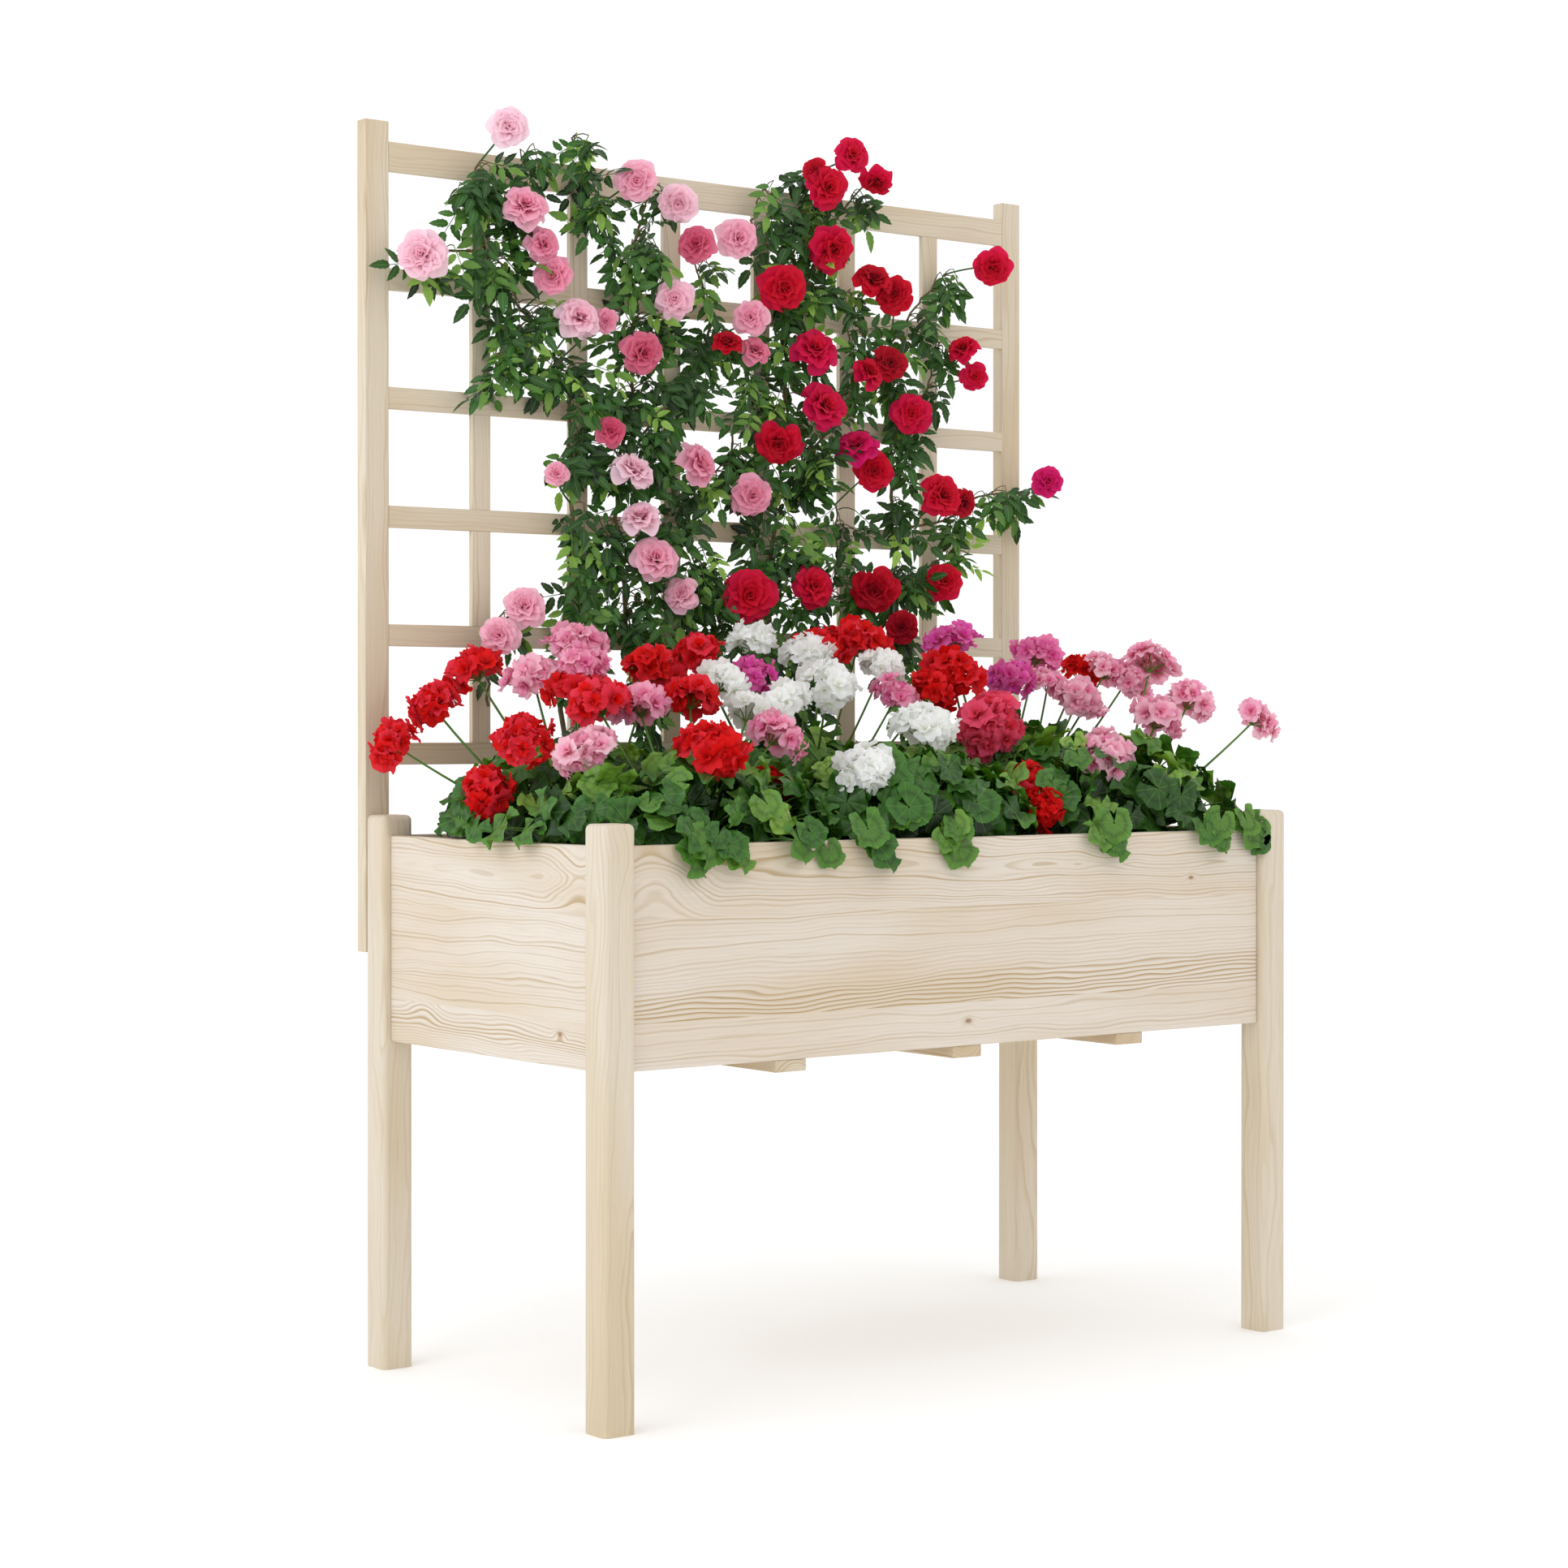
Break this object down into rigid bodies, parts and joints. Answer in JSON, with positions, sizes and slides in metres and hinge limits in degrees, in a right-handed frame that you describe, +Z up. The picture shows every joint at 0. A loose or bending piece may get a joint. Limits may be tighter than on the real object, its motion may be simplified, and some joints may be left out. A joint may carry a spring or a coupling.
{
  "type": "raised garden planter with trellis",
  "caption": "Softwood planter box raised on square legs, with a lattice trellis behind it, planted with geraniums and climbing roses.",
  "frame": {"origin": "on the ground, at the middle of the footprint of the legs and trellis posts", "axes": "+X to the right along the length, +Y to the back where the trellis stands, +Z up"},
  "size_m": [1.205, 0.607, 1.72],
  "materials": {
    "pine_legs": "matte",
    "pine_walls": "matte",
    "pine_floor": "matte",
    "pine_trellis": "matte",
    "beech_dowels": "matte",
    "zinc_screws": "satin",
    "steel_pins": "satin",
    "liner_fabric": "matte",
    "potting_soil": "matte",
    "geranium_leaves": "matte",
    "rose_leaves": "satin",
    "geranium_petals_red": "matte",
    "geranium_petals_pink": "matte",
    "geranium_petals_white": "matte",
    "rose_petals_pink": "matte",
    "rose_petals_red": "matte"
  },
  "bodies": {
    "root": {"back_wall_bottom_stave": "pine_walls", "back_wall_middle_stave": "pine_walls", "back_wall_top_stave": "pine_walls", "bearer_screws": "zinc_screws", "climbing_rose_pink_left": "rose_leaves", "climbing_rose_pink_right": "rose_leaves", "climbing_rose_red_left": "rose_leaves", "climbing_rose_red_right": "rose_leaves", "floor_bearer_1": "pine_floor", "floor_bearer_2": "pine_floor", "floor_bearer_3": "pine_floor", "floor_nails": "steel_pins", "floor_slat_1": "pine_floor", "floor_slat_2": "pine_floor", "floor_slat_3": "pine_floor", "floor_slat_4": "pine_floor", "floor_slat_5": "pine_floor", "floor_slat_6": "pine_floor", "front_wall_bottom_stave": "pine_walls", "front_wall_middle_stave": "pine_walls", "front_wall_top_stave": "pine_walls", "geranium_back_centre": "geranium_leaves", "geranium_back_left": "geranium_leaves", "geranium_back_right": "geranium_leaves", "geranium_front_centre": "geranium_leaves", "geranium_front_left": "geranium_leaves", "geranium_front_right": "geranium_leaves", "lattice_brads": "steel_pins", "left_wall_bottom_stave": "pine_walls", "left_wall_middle_stave": "pine_walls", "left_wall_top_stave": "pine_walls", "leg_back_left": "pine_legs", "leg_back_right": "pine_legs", "leg_front_left": "pine_legs", "leg_front_right": "pine_legs", "liner": "liner_fabric", "liner_staples": "steel_pins", "potting_soil": "potting_soil", "right_wall_bottom_stave": "pine_walls", "right_wall_middle_stave": "pine_walls", "right_wall_top_stave": "pine_walls", "trellis_lath_1": "pine_trellis", "trellis_lath_2": "pine_trellis", "trellis_lath_3": "pine_trellis", "trellis_lath_4": "pine_trellis", "trellis_lath_5": "pine_trellis", "trellis_lath_6": "pine_trellis", "trellis_post_left": "pine_trellis", "trellis_post_right": "pine_trellis", "trellis_rail_2": "pine_trellis", "trellis_rail_3": "pine_trellis", "trellis_rail_4": "pine_trellis", "trellis_rail_5": "pine_trellis", "trellis_rail_6": "pine_trellis", "trellis_screws": "zinc_screws", "trellis_top_rail": "pine_trellis", "wall_dowels": "beech_dowels", "wall_pocket_screws": "zinc_screws"}
  },
  "joints": []
}
